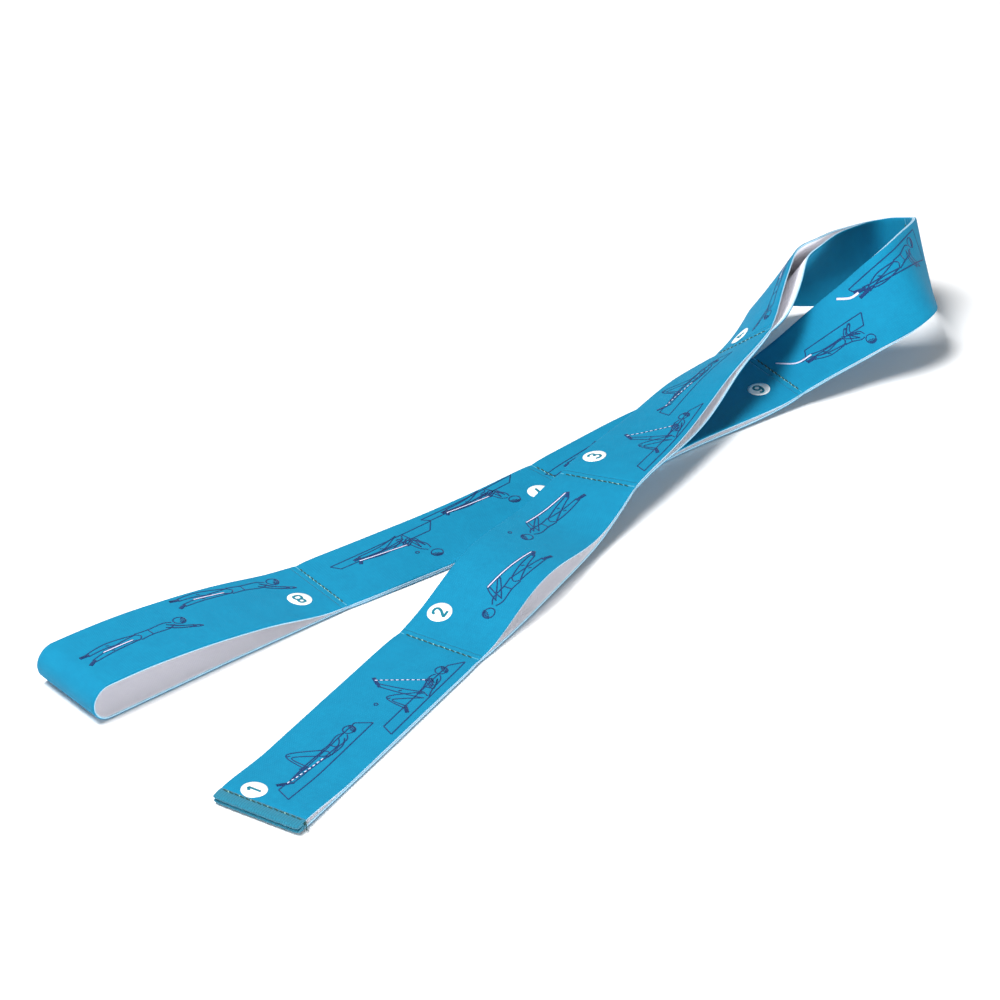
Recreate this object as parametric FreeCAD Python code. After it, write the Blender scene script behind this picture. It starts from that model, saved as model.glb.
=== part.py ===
"""Stretching strap: one elastic band folded in half and sewn across into eight loops.

The strap lies as it was put down: loop 1 with its hem on the surface, then up over the returning
half, round a turn on its edge, back underneath, and out to loop 8 with its wide folded end.
"""
import FreeCAD
import Part
import math
import os

# Driving dimensions, millimetres
BAND_WIDTH = 40.0            # width of the webbing
PLY = 1.2                    # thickness of one ply
LOOP_LENGTH = 136.0          # from one cross seam to the next
LOOPS = 8
ROOT_LOOP = 6                # the loop that the others are hinged from

PLY_AIR = 0.05               # from the middle surface to each ply where they lie together
SEAM_PINCH = 0.3             # how much thinner a ply is where a seam pulls it in
PINCH_LENGTH = 6.0           # over this length
HINGE_CLEARANCE = 1.6        # from a seam's line to the start of the loop that hinges on it

HEM_LENGTH = 5.6             # how far each end is turned back
HEM_ROLL = 2.1               # thickness of one turned-back end
HEM_RAISED = 0.35            # the hem's underside above the back ply's, room for its stitches
HEM_RUN_OUT = 34.0           # the front ply comes down from the hem over this length
HEM_STITCH_AT = 5.0          # the hem's stitch row, from the end of the strap

THREAD_RADIUS = 0.15
STITCH_LENGTH = 2.0
STITCH_PITCH = 2.8
STITCHES = 12                # stitches in one row, over the middle of the width
STITCH_SETBACK = 0.5         # from a seam's line to its stitch row
THREAD_AIR = 0.03
KNOT_RADIUS = 0.7
KNOT_HEIGHT = 1.0            # the knot's centre above the middle surface

LOOP_8_REST = 0.1            # underside of loop 8 above the surface it lies on
NOSE_RADIUS = 7.85           # of the middle of the ply, round the folded end of loop 8
NOSE_CENTRE = 123.5          # from seam 7
FOLD_START = 112.0           # from seam 7, where the end fold's own piece begins
FOLD_LEAD = 4.0              # between the first sections of the end fold

SHIFT = (-18.6, 38.7, 0.1)   # brings the middle of the strap's box over the origin

# Route of the middle surface: x, y, z and how far the right-hand edge is turned up, in degrees
ROUTE = [
    (-236, -95.2, 1.3, 0),
    (-168, -79.5, 1.3, 0),
    (-102, -64, 1.3, 0),
    (-68, -56.5, 1.6, -0.5),
    (-35, -48.5, 3.4, -3),
    (-3, -41, 6.2, -2),
    (29, -33, 11.5, 8),
    (62, -26, 12.5, 12),
    (95, -18, 13, 20),
    (128, -10.5, 16, 29),
    (161, -5, 17.5, 40),
    (177, -1, 20, 47),
    (193, 5, 25, 54),
    (209, 10.5, 28, 60),
    (224, 9, 26, 74),
    (240, 6, 23.5, 89),
    (256, 1.5, 21.5, 103),
    (271, -4, 20.5, 109),
    (274, -18, 26, 88),
    (263, -31, 32.5, 72),
    (248, -39.5, 36.5, 60),
    (233, -45, 37.5, 47),
    (219, -43, 32, 37),
    (206, -37, 24, 23),
    (191, -32, 17, 11),
    (176, -28, 11, 3),
    (160, -24, 5.5, 0),
    (127, -18.5, 2.0, 0),
    (94, -13.5, 1.45, 0),
    (29, -11, 1.3, 0),
    (-39, -6, 1.3, 0),
    (-106, 4.5, 1.3, 0),
    (-172, 12, 1.3, 0),
    (-241, 18, 1.3, 0),
]

# How far each loop stands open: the front ply's rise at its left and right edge, the back ply's
# fall at its left and right edge, and where along the loop the opening is widest (0 to 1)
OPENING = {
    1: (0.3, 0.3, 0.0, 0.0, 0.5),
    2: (9.5, 11.0, 0.0, 0.0, 0.40),
    3: (0.5, 0.8, 0.3, 3.0, 0.5),
    4: (1.2, 3.2, 1.0, 3.4, 0.24),
    5: (0.8, 0.8, 0.4, 0.4, 0.5),
    6: (1.4, 1.0, 0.0, 0.0, 0.35),
    7: (0.2, 0.2, 0.0, 0.0, 0.5),
}

# The front ply of loop 8: distance from seam 7 and height of the ply's middle
LOOP_8_ARCH = [(0.0, 1.8), (14.0, 3.1), (34.0, 7.2), (60.0, 11.6), (90.0, 15.0)]

# Where the front ply of loop 8 has its sections, from seam 7
LOOP_8_SECTIONS = (HINGE_CLEARANCE, 4.0, PINCH_LENGTH, 14.0, 24.0, 34.0,
                   47.0, 60.0, 75.0, 90.0, 102.0, FOLD_START)

SECTIONS = 9                 # sections of a ply between those beside its seams
FLAT_SECTIONS = 5            # the same for the flat back ply of loop 8
NOSE_TURNS = 10              # steps round the fold
DIFFERENCE = 0.5             # half the span that a direction or a slope is taken over


def natural_spline(knots, values):
    """Second derivatives of the natural cubic spline through values at knots."""
    count = len(knots)
    bends = [0.0] * count
    gaps = [knots[i + 1] - knots[i] for i in range(count - 1)]
    upper = [0.0] * count
    right = [0.0] * count
    for i in range(1, count - 1):
        rise = (values[i + 1] - values[i]) / gaps[i] - (values[i] - values[i - 1]) / gaps[i - 1]
        pivot = 2.0 * (gaps[i - 1] + gaps[i]) - gaps[i - 1] * upper[i - 1]
        upper[i] = gaps[i] / pivot
        right[i] = (6.0 * rise - gaps[i - 1] * right[i - 1]) / pivot
    for i in range(count - 2, 0, -1):
        bends[i] = right[i] - upper[i] * bends[i + 1]
    return bends


def spline_value(knots, values, bends, u):
    """The spline at u."""
    i = 0
    while i < len(knots) - 2 and u > knots[i + 1]:
        i += 1
    gap = knots[i + 1] - knots[i]
    a = (knots[i + 1] - u) / gap
    b = 1.0 - a
    bend = ((a ** 3 - a) * bends[i] + (b ** 3 - b) * bends[i + 1]) * gap * gap / 6.0
    return a * values[i] + b * values[i + 1] + bend


class Route:
    """The smooth line through the stations, measured along the strap's two edges."""

    def __init__(self, stations, steps=16):
        self.knots = [0.0]
        for p, q in zip(stations, stations[1:]):
            self.knots.append(self.knots[-1] + math.dist(p[:3], q[:3]))
        self.columns = [list(column) for column in zip(*stations)]
        self.bends = [natural_spline(self.knots, column) for column in self.columns]
        self.table = [(0.0, 0.0)]
        last = self.edges(0.0)
        for low, high in zip(self.knots, self.knots[1:]):
            for j in range(1, steps + 1):
                u = low + (high - low) * j / steps
                now = self.edges(u)
                step = sum((p - q).Length for p, q in zip(now, last)) / 2
                self.table.append((self.table[-1][0] + step, u))
                last = now

    def raw(self, u):
        """x, y, z and roll at spline parameter u."""
        return [spline_value(self.knots, column, bends, u)
                for column, bends in zip(self.columns, self.bends)]

    def frame_at(self, u):
        """Centre, direction of travel, direction to the right edge and face normal."""
        x, y, z, roll = self.raw(u)
        centre = FreeCAD.Vector(x, y, z) + FreeCAD.Vector(*SHIFT)
        ahead = FreeCAD.Vector(*self.raw(u + DIFFERENCE)[:3])
        behind = FreeCAD.Vector(*self.raw(u - DIFFERENCE)[:3])
        travel = (ahead - behind).normalize()
        level = travel.cross(FreeCAD.Vector(0, 0, 1)).normalize()
        raised = level.cross(travel)
        turn = math.radians(roll)
        across = level * math.cos(turn) + raised * math.sin(turn)
        normal = raised * math.cos(turn) - level * math.sin(turn)
        return centre, travel, across, normal

    def edges(self, u):
        """The middles of the strap's left and right edges."""
        centre, travel, across, normal = self.frame_at(u)
        return centre - across * (BAND_WIDTH / 2), centre + across * (BAND_WIDTH / 2)

    def frame(self, s):
        """The frame at distance s along the strap."""
        low, high = 0, len(self.table) - 1
        while high - low > 1:
            middle = (low + high) // 2
            if self.table[middle][0] > s:
                high = middle
            else:
                low = middle
        (s0, u0), (s1, u1) = self.table[low], self.table[high]
        return self.frame_at(u0 + (u1 - u0) * (s - s0) / (s1 - s0))


route = Route(ROUTE)


def smooth_step(x):
    """0 below 0, 1 above 1, smooth between."""
    x = min(max(x, 0.0), 1.0)
    return x * x * (3.0 - 2.0 * x)


def seam(number):
    """Distance along the strap of a seam; seam 0 is the strap's end."""
    return number * LOOP_LENGTH


def opening(loop, s):
    """Offsets of the front ply and the back ply from the middle surface, left and right."""
    front_left, front_right, back_left, back_right, peak = OPENING[loop]
    t = min(max((s - seam(loop - 1)) / LOOP_LENGTH, 0.0), 1.0)
    swell = math.sin(math.pi * t ** (math.log(0.5) / math.log(peak))) ** 3
    lift = 0.0
    if loop == 1:
        lift = HEM_ROLL * (1.0 - smooth_step((s - HEM_LENGTH) / HEM_RUN_OUT))
    return ((PLY_AIR + lift + front_left * swell, PLY_AIR + lift + front_right * swell),
            (PLY_AIR + back_left * swell, PLY_AIR + back_right * swell))


def pinched(loop, s):
    """Thickness of a ply, thinner beside a seam."""
    to_seam = seam(loop) - s
    if loop > 1:
        to_seam = min(to_seam, s - seam(loop - 1))
    return PLY - SEAM_PINCH * (1.0 - smooth_step(to_seam / PINCH_LENGTH))


def ends(loop):
    """Where a loop's plies begin and end: at the seam's line, or clear of it where they hinge."""
    start = seam(loop - 1) + (HINGE_CLEARANCE if loop > ROOT_LOOP else 0.0)
    stop = seam(loop) - (HINGE_CLEARANCE if loop < ROOT_LOOP else 0.0)
    if loop == 1:
        start = HEM_LENGTH
    return start, stop


def stations_along(start, stop, count):
    """Distances for the sections: close together by the ends, even between."""
    steps = (0.0, 2.0, 4.0, PINCH_LENGTH, PINCH_LENGTH + 3.0)
    near = [start + step for step in steps]
    far = [stop - step for step in reversed(steps)]
    low, high = near[-1], far[0]
    return near + [low + (high - low) * i / (count + 1) for i in range(1, count + 1)] + far


def corner_curve(points, parameters):
    """A smooth curve through one corner of every section."""
    curve = Part.BSplineCurve()
    curve.interpolate(Points=points, Parameters=parameters)
    return curve


def loft(sections):
    """A solid with four long smooth faces through four-cornered sections."""
    parameters = [0.0]
    for last, now in zip(sections, sections[1:]):
        step = sum((p - q).Length for p, q in zip(last, now)) / 4
        parameters.append(parameters[-1] + step)
    curves = [corner_curve([section[k] for section in sections], parameters) for k in range(4)]
    faces = []
    for k in range(4):
        one, other = curves[k], curves[(k + 1) % 4]
        surface = Part.BSplineSurface()
        surface.buildFromPolesMultsKnots([one.getPoles(), other.getPoles()],
                                         [2, 2], one.getMultiplicities(),
                                         [0.0, 1.0], one.getKnots(), False, False, 1, 3)
        faces.append(surface.toShape())
    for section in (sections[0], sections[-1]):
        faces.append(Part.Face(Part.makePolygon(section + [section[0]])))
    skin = Part.makeShell(faces)
    skin.sewShape()
    solid = Part.Solid(skin)
    if solid.Volume < 0:
        solid.reverse()
    return solid


def ply(loop, side):
    """One ply of one loop; side is 1 for the front and -1 for the back."""
    sections = []
    for s in stations_along(*ends(loop), SECTIONS):
        centre, travel, across, normal = route.frame(s)
        offsets = opening(loop, s)[0 if side > 0 else 1]
        thickness = pinched(loop, s)
        left = centre - across * (BAND_WIDTH / 2)
        right = centre + across * (BAND_WIDTH / 2)
        inner_left = left + normal * side * offsets[0]
        inner_right = right + normal * side * offsets[1]
        skin = normal * side * thickness
        sections.append([inner_left, inner_right, inner_right + skin, inner_left + skin])
    return loft(sections)


def flat_prism(outline, s):
    """A closed outline of (distance, height) from the middle surface at s, across the width."""
    centre, travel, across, normal = route.frame(s)
    corner = centre - across * (BAND_WIDTH / 2)
    points = [corner + travel * (d - s) + normal * h for d, h in outline]
    face = Part.Face(Part.makePolygon(points + [points[0]]))
    return face.extrude(across * BAND_WIDTH)


def loop_1_back():
    """The back ply of loop 1: straight, and flat on the surface."""
    start, stop = ends(1)
    pinched_end = PLY_AIR + PLY - SEAM_PINCH
    return flat_prism([(start, -PLY_AIR), (stop, -PLY_AIR), (stop, -pinched_end),
                       (stop - PINCH_LENGTH, -PLY_AIR - PLY), (start, -PLY_AIR - PLY)], start)


def hem(low):
    """One turned-back end: flat above and below, round at the end of the strap."""
    centre, travel, across, normal = route.frame(HEM_LENGTH)
    corner = centre - across * (BAND_WIDTH / 2) + normal * low
    radius = HEM_ROLL / 2

    def at(d, h):
        return corner + travel * (d - HEM_LENGTH) + normal * h

    edges = [Part.makeLine(at(HEM_LENGTH, 0), at(radius, 0)),
             Part.Arc(at(radius, 0), at(0, radius), at(radius, HEM_ROLL)).toShape(),
             Part.makeLine(at(radius, HEM_ROLL), at(HEM_LENGTH, HEM_ROLL)),
             Part.makeLine(at(HEM_LENGTH, HEM_ROLL), at(HEM_LENGTH, 0))]
    return Part.Face(Part.Wire(edges)).extrude(across * BAND_WIDTH)


def arch_height():
    """A function for the height of the middle of loop 8's front ply, level over the fold's centre."""
    last_distance, last_height = LOOP_8_ARCH[-1]
    points = LOOP_8_ARCH + [(NOSE_CENTRE, LOOP_8_REST + PLY / 2 + 2 * NOSE_RADIUS),
                            (2 * NOSE_CENTRE - last_distance, last_height)]
    knots = [d for d, h in points]
    values = [h for d, h in points]
    bends = natural_spline(knots, values)
    return lambda d: spline_value(knots, values, bends, d)


def slope_at(height, d):
    """The slope of loop 8's front ply, as an angle."""
    return math.atan2(height(d + DIFFERENCE) - height(d - DIFFERENCE), 2 * DIFFERENCE)


def loop_8_section(distance, height, tilt, thickness=PLY):
    """A section of loop 8's band, at a distance from seam 7 and a height above the surface."""
    base, travel, across, normal = route.frame(seam(LOOPS - 1) + distance)
    middle = base + normal * (height + SHIFT[2] - base.z)
    skin = (normal * math.cos(tilt) - travel * math.sin(tilt)) * (thickness / 2)
    half = across * (BAND_WIDTH / 2)
    return [middle - half - skin, middle + half - skin, middle + half + skin, middle - half + skin]


def loop_8_front():
    """The front ply of loop 8, rising from its seam to the wide folded end."""
    height = arch_height()
    sections = []
    for d in LOOP_8_SECTIONS:
        thickness = pinched(LOOPS, seam(LOOPS - 1) + d)
        sections.append(loop_8_section(d, height(d), slope_at(height, d), thickness))
    return loft(sections)


def loop_8_back():
    """The back ply of loop 8, flat on the surface."""
    last_seam = seam(LOOPS - 1)
    top = LOOP_8_REST + PLY
    sections = []
    for s in stations_along(last_seam + HINGE_CLEARANCE, last_seam + FOLD_START, FLAT_SECTIONS):
        thickness = pinched(LOOPS, s)
        sections.append(loop_8_section(s - last_seam, top - thickness / 2, 0.0, thickness))
    return loft(sections)


def end_fold():
    """The fold round the end of loop 8, from the front ply to the back ply."""
    height = arch_height()
    low = LOOP_8_REST + PLY / 2
    sections = []
    for d in (FOLD_START, FOLD_START + FOLD_LEAD, FOLD_START + 2 * FOLD_LEAD):
        sections.append(loop_8_section(d, height(d), slope_at(height, d)))
    for i in range(NOSE_TURNS + 1):
        turn = math.pi * i / NOSE_TURNS
        d = NOSE_CENTRE + NOSE_RADIUS * math.sin(turn)
        sections.append(loop_8_section(d, low + NOSE_RADIUS * (1 + math.cos(turn)), -turn))
    for d in (FOLD_START + 1.5 * FOLD_LEAD, FOLD_START):
        sections.append(loop_8_section(d, low, -math.pi))
    return loft(sections)


def stitch_row(s, height):
    """A row of separate stitches across the strap, at a height from the middle surface."""
    centre, travel, across, normal = route.frame(s)
    stitches = []
    for i in range(STITCHES):
        middle = (i - (STITCHES - 1) / 2) * STITCH_PITCH
        start = centre + normal * height + across * (middle - STITCH_LENGTH / 2)
        stitches.append(Part.makeCylinder(THREAD_RADIUS, STITCH_LENGTH, start, across))
    return Part.makeCompound(stitches)


def seam_rows(number):
    """The needle thread's row on the front and the bobbin thread's row on the back of a seam."""
    setback = STITCH_SETBACK if number < ROOT_LOOP else -STITCH_SETBACK
    surface = PLY_AIR + PLY - SEAM_PINCH + THREAD_AIR + THREAD_RADIUS
    s = seam(number) + setback
    return stitch_row(s, surface + THREAD_AIR), stitch_row(s, -surface - THREAD_AIR)


def build():
    """Every piece by name."""
    pieces = {}
    for loop in range(1, LOOPS):
        pieces[f"front_ply_{loop}"] = ply(loop, 1)
        pieces[f"back_ply_{loop}"] = loop_1_back() if loop == 1 else ply(loop, -1)
    pieces["front_ply_8"] = loop_8_front()
    pieces["back_ply_8"] = loop_8_back()
    pieces["end_fold"] = end_fold()

    back_hem_low = -PLY_AIR - PLY + HEM_RAISED
    front_hem_low = back_hem_low + HEM_ROLL + PLY_AIR
    pieces["back_hem"] = hem(back_hem_low)
    pieces["front_hem"] = hem(front_hem_low)
    for number in range(1, LOOPS):
        needle, bobbin = seam_rows(number)
        pieces[f"needle_thread_{number}"] = needle
        pieces[f"bobbin_thread_{number}"] = bobbin
    top = front_hem_low + HEM_ROLL + THREAD_AIR + THREAD_RADIUS
    pieces["hem_needle_thread"] = stitch_row(HEM_STITCH_AT, top)
    under = back_hem_low - THREAD_AIR - THREAD_RADIUS
    pieces["hem_bobbin_thread"] = stitch_row(HEM_STITCH_AT, under)
    centre, travel, across, normal = route.frame(HEM_STITCH_AT)
    knot_at = centre + across * (BAND_WIDTH / 2 + KNOT_RADIUS + THREAD_AIR) + normal * KNOT_HEIGHT
    pieces["hem_thread_knot"] = Part.makeSphere(KNOT_RADIUS, knot_at)
    return pieces


def main():
    os.makedirs("parts", exist_ok=True)
    whole = FreeCAD.BoundBox()
    pieces = build()
    for name, shape in pieces.items():
        shape.exportStep(f"parts/{name}.step")
        whole.add(shape.BoundBox)
        print(f"{name}: volume {shape.Volume:.1f} mm3, valid {shape.isValid()}")
    print("box", [round(v, 2) for v in (whole.XMin, whole.XMax, whole.YMin, whole.YMax,
                                        whole.ZMin, whole.ZMax)])
    centre, travel, across, normal = route.frame(LOOP_LENGTH / 2)
    rest = pieces["back_ply_1"].BoundBox.ZMin
    print("loop 1 underside", [round(v, 2) for v in (centre.x, centre.y, rest)])
    for number in range(1, LOOPS):
        centre, travel, across, normal = route.frame(seam(number))
        print(f"seam {number}: at {[round(v, 3) for v in centre]}",
              f"across {[round(v, 4) for v in across]}")


main()
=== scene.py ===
"""Looks of the stretching strap: woven printed band, hem, lockstitch rows, printed digits and figures."""
import math
import random
import bmesh
import bpy
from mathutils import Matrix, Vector


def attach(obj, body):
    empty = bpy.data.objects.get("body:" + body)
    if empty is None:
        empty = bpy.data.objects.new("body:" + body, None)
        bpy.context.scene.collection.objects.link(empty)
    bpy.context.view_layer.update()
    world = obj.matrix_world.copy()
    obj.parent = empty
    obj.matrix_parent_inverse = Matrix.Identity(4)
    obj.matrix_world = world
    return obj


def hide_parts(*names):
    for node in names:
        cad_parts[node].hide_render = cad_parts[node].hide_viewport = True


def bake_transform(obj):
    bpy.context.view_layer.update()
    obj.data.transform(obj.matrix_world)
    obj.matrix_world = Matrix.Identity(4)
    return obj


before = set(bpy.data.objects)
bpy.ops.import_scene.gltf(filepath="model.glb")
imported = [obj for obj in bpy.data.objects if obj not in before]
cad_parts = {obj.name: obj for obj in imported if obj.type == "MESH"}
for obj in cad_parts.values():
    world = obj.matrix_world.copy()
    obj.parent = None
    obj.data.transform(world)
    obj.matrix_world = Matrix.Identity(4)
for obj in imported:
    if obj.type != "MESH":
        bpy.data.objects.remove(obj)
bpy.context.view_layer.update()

# ---- dimensions, metres
MM = 0.001
BAND_WIDTH = 40.0 * MM
PLY = 1.2 * MM
LOOP_LENGTH = 136.0 * MM
LOOPS = 8
PLY_AIR = 0.05 * MM
SEAM_PINCH = 0.3 * MM  # how far a seam pulls each ply in
SEAM_GROOVE = 0.12 * MM  # and the furrow along its stitches
GROOVE_WIDTH = 0.8 * MM
PINCH_LENGTH = 5.0 * MM
SEAM_NARROWING = 0.7 * MM  # how much narrower the band is at a seam
BEND_HALF = 3.0 * MM  # half the length of band that bends at a seam
STITCH_PITCH = 2.8 * MM
STITCHES = 12  # in a cross seam
HEM_STITCHES = 14
HEM_LENGTH = 5.6 * MM
HEM_ROLL = 2.1 * MM
HEM_RAISED = 0.35 * MM
HEM_RUN_OUT = 34.0 * MM
HEM_STITCH_AT = 4.95 * MM
HEM_DIP = 0.45 * MM  # how deep the hem's stitch row lies
HEM_DIP_LENGTH = 2.5 * MM
NOSE_RADIUS = 7.85 * MM
NOSE_CENTRE = 123.5 * MM
SHIFT = Vector((-18.6, 38.7, 0.1)) * MM  # from the route's origin to the strap's
FLOOR_AIR = 0.1  # under the back ply of loop 8, millimetres

# Route of the band's middle surface: x, y, z in millimetres and the right-hand edge's rise in degrees
ROUTE = [
    (-236, -95.2, 1.3, 0),
    (-168, -79.5, 1.3, 0),
    (-102, -64, 1.3, 0),
    (-68, -56.5, 1.6, -0.5),
    (-35, -48.5, 3.4, -3),
    (-3, -41, 6.2, -2),
    (29, -33, 11.5, 8),
    (62, -26, 12.5, 12),
    (95, -18, 13, 20),
    (128, -10.5, 16, 29),
    (161, -5, 17.5, 40),
    (177, -1, 20, 47),
    (193, 5, 25, 54),
    (209, 10.5, 28, 60),
    (224, 9, 26, 74),
    (240, 6, 23.5, 89),
    (256, 1.5, 21.5, 103),
    (271, -4, 20.5, 109),
    (274, -18, 26, 88),
    (263, -31, 32.5, 72),
    (248, -39.5, 36.5, 60),
    (233, -45, 37.5, 47),
    (219, -43, 32, 37),
    (206, -37, 24, 23),
    (191, -32, 17, 11),
    (176, -28, 11, 3),
    (160, -24, 5.5, 0),
    (127, -18.5, 2.0, 0),
    (94, -13.5, 1.45, 0),
    (29, -11, 1.3, 0),
    (-39, -6, 1.3, 0),
    (-106, 4.5, 1.3, 0),
    (-172, 12, 1.3, 0),
    (-241, 18, 1.3, 0),
]

# How far each loop stands open, millimetres: front ply left and right, back ply left and right,
# and where along the loop it is widest
OPENING = {
    1: (0.3, 0.3, 0.0, 0.0, 0.5),
    2: (9.5, 11.0, 0.0, 0.0, 0.40),
    3: (0.5, 0.8, 0.3, 3.0, 0.5),
    4: (1.2, 3.2, 1.0, 3.4, 0.24),
    5: (0.8, 0.8, 0.4, 0.4, 0.5),
    6: (1.4, 1.0, 0.0, 0.0, 0.35),
    7: (0.2, 0.2, 0.0, 0.0, 0.5),
}
LOOP_8_ARCH = [(0.0, 1.8), (14.0, 3.1), (34.0, 7.2), (60.0, 11.6), (90.0, 15.0)]


# ---- the band's route
def natural_spline(knots, values):
    """Second derivatives of the natural cubic spline through values at knots."""
    count = len(knots)
    bends = [0.0] * count
    gaps = [knots[i + 1] - knots[i] for i in range(count - 1)]
    upper = [0.0] * count
    right = [0.0] * count
    for i in range(1, count - 1):
        rise = (values[i + 1] - values[i]) / gaps[i] - (values[i] - values[i - 1]) / gaps[i - 1]
        pivot = 2.0 * (gaps[i - 1] + gaps[i]) - gaps[i - 1] * upper[i - 1]
        upper[i] = gaps[i] / pivot
        right[i] = (6.0 * rise - gaps[i - 1] * right[i - 1]) / pivot
    for i in range(count - 2, 0, -1):
        bends[i] = right[i] - upper[i] * bends[i + 1]
    return bends


def spline_value(knots, values, bends, u):
    """The spline at u."""
    i = 0
    while i < len(knots) - 2 and u > knots[i + 1]:
        i += 1
    gap = knots[i + 1] - knots[i]
    a = (knots[i + 1] - u) / gap
    b = 1.0 - a
    bend = ((a ** 3 - a) * bends[i] + (b ** 3 - b) * bends[i + 1]) * gap * gap / 6.0
    return a * values[i] + b * values[i + 1] + bend


class Route:
    """The smooth line through the stations, measured along the band's two edges."""

    def __init__(self, stations, steps=16):
        self.knots = [0.0]
        for p, q in zip(stations, stations[1:]):
            self.knots.append(self.knots[-1] + math.dist(p[:3], q[:3]))
        self.columns = [list(column) for column in zip(*stations)]
        self.bends = [natural_spline(self.knots, column) for column in self.columns]
        self.table = [(0.0, 0.0)]
        self.cache = {}
        last = self.edges(0.0)
        for low, high in zip(self.knots, self.knots[1:]):
            for j in range(1, steps + 1):
                u = low + (high - low) * j / steps
                now = self.edges(u)
                step = sum((p - q).length for p, q in zip(now, last)) / 2
                self.table.append((self.table[-1][0] + step, u))
                last = now

    def raw(self, u):
        """x, y, z in millimetres and roll in degrees at spline parameter u."""
        return [spline_value(self.knots, column, bends, u)
                for column, bends in zip(self.columns, self.bends)]

    def frame_at(self, u):
        """Centre, direction of travel, direction to the right edge and face normal."""
        x, y, z, roll = self.raw(u)
        centre = Vector((x, y, z)) * MM + SHIFT
        travel = (Vector(self.raw(u + 0.5)[:3]) - Vector(self.raw(u - 0.5)[:3])).normalized()
        level = travel.cross(Vector((0, 0, 1))).normalized()
        raised = level.cross(travel)
        turn = math.radians(roll)
        across = level * math.cos(turn) + raised * math.sin(turn)
        normal = raised * math.cos(turn) - level * math.sin(turn)
        return centre, travel, across, normal

    def edges(self, u):
        """The middles of the band's left and right edges."""
        centre, travel, across, normal = self.frame_at(u)
        return centre - across * (BAND_WIDTH / 2), centre + across * (BAND_WIDTH / 2)

    def frame(self, s):
        """The frame at distance s along the band."""
        key = round(s, 7)
        if key not in self.cache:
            low, high = 0, len(self.table) - 1
            while high - low > 1:
                middle = (low + high) // 2
                if self.table[middle][0] > s:
                    high = middle
                else:
                    low = middle
            (s0, u0), (s1, u1) = self.table[low], self.table[high]
            self.cache[key] = self.frame_at(u0 + (u1 - u0) * (s - s0) / (s1 - s0))
        return self.cache[key]


route = Route(ROUTE)


def smooth_step(x):
    """0 below 0, 1 above 1, smooth between."""
    x = min(max(x, 0.0), 1.0)
    return x * x * (3.0 - 2.0 * x)


def seam(number):
    """Distance along the band of a seam; seam 0 is the end with the hem."""
    return number * LOOP_LENGTH


def nearest_seam(s):
    """Distance from s to the nearest cross seam."""
    number = min(max(round(s / LOOP_LENGTH), 1), LOOPS - 1)
    return abs(s - seam(number))


def ply_gap(loop, side, s, share):
    """Distance from the middle surface to a ply's inner side; share is 0 at the left edge, 1 at the right."""
    sizes = OPENING[loop]
    t = min(max((s - seam(loop - 1)) / LOOP_LENGTH, 0.0), 1.0)
    swell = math.sin(math.pi * t ** (math.log(0.5) / math.log(sizes[4]))) ** 3
    left, right = (sizes[0], sizes[1]) if side > 0 else (sizes[2], sizes[3])
    gap = PLY_AIR + (left + (right - left) * share) * swell * MM
    if loop == 1 and side > 0:
        gap += HEM_ROLL * (1.0 - smooth_step((s - HEM_LENGTH) / HEM_RUN_OUT))
    return gap


def thickness(s):
    """Thickness of a ply: a seam pulls it in, and so does the hem's stitch row."""
    near = 1.0 - smooth_step(nearest_seam(s) / PINCH_LENGTH)
    groove = math.exp(-(nearest_seam(s) / GROOVE_WIDTH) ** 2)
    hem = 1.0 - smooth_step((s - HEM_STITCH_AT) / HEM_DIP_LENGTH)
    return PLY - SEAM_PINCH * near - SEAM_GROOVE * groove - HEM_DIP * hem


def half_width(s):
    """Half the band's width: a little less where a seam draws it together."""
    return BAND_WIDTH / 2 - SEAM_NARROWING / 2 * (1.0 - smooth_step(nearest_seam(s) / (4 * BEND_HALF)))


def loop_of(s):
    """The number of the loop that s is in."""
    return min(max(int(s / LOOP_LENGTH) + 1, 1), LOOPS)


# ---- the plies as strips
def arch_height():
    """The height of the middle of loop 8's front ply, as a function of the distance from its seam."""
    points = [(d, h + FLOOR_AIR) for d, h in LOOP_8_ARCH]
    points.append((NOSE_CENTRE / MM, (PLY / 2 + 2 * NOSE_RADIUS) / MM + FLOOR_AIR))
    points.append((2 * NOSE_CENTRE / MM - LOOP_8_ARCH[-1][0], LOOP_8_ARCH[-1][1] + FLOOR_AIR))
    knots = [d for d, h in points]
    values = [h for d, h in points]
    bends = natural_spline(knots, values)
    return lambda d: spline_value(knots, values, bends, d / MM) * MM


arch = arch_height()


def rib(side, s):
    """Left and right ends of a ply's middle line at s, and its outward direction."""
    centre, travel, across, normal = route.frame(s)
    half = half_width(s)
    if s >= seam(7):
        d = s - seam(7)
        if side > 0:
            height = arch(d)
            slope = math.atan2(arch(d + MM) - arch(d - MM), 2 * MM)
        else:
            height = FLOOR_AIR * MM + PLY - thickness(s) / 2
            slope = 0.0
        middle = centre + normal * (height + SHIFT.z - centre.z)
        outward = (normal * math.cos(slope) - travel * math.sin(slope)) * side
        return middle - across * half, middle + across * half, outward
    loop = loop_of(s)
    deep = thickness(s) / 2
    left = centre - across * half + normal * side * (ply_gap(loop, side, s, 0.0) + deep)
    right = centre + across * half + normal * side * (ply_gap(loop, side, s, 1.0) + deep)
    outward = (right - left).cross(travel).normalized()
    if outward.dot(normal) * side < 0:
        outward = -outward
    return left, right, outward


WAVE_HEIGHT = 0.05 * MM
PUCKER_HEIGHT = 0.09 * MM
PUCKER_AT = 2.6 * MM  # from the seam
PUCKER_REACH = 1.8 * MM


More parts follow.
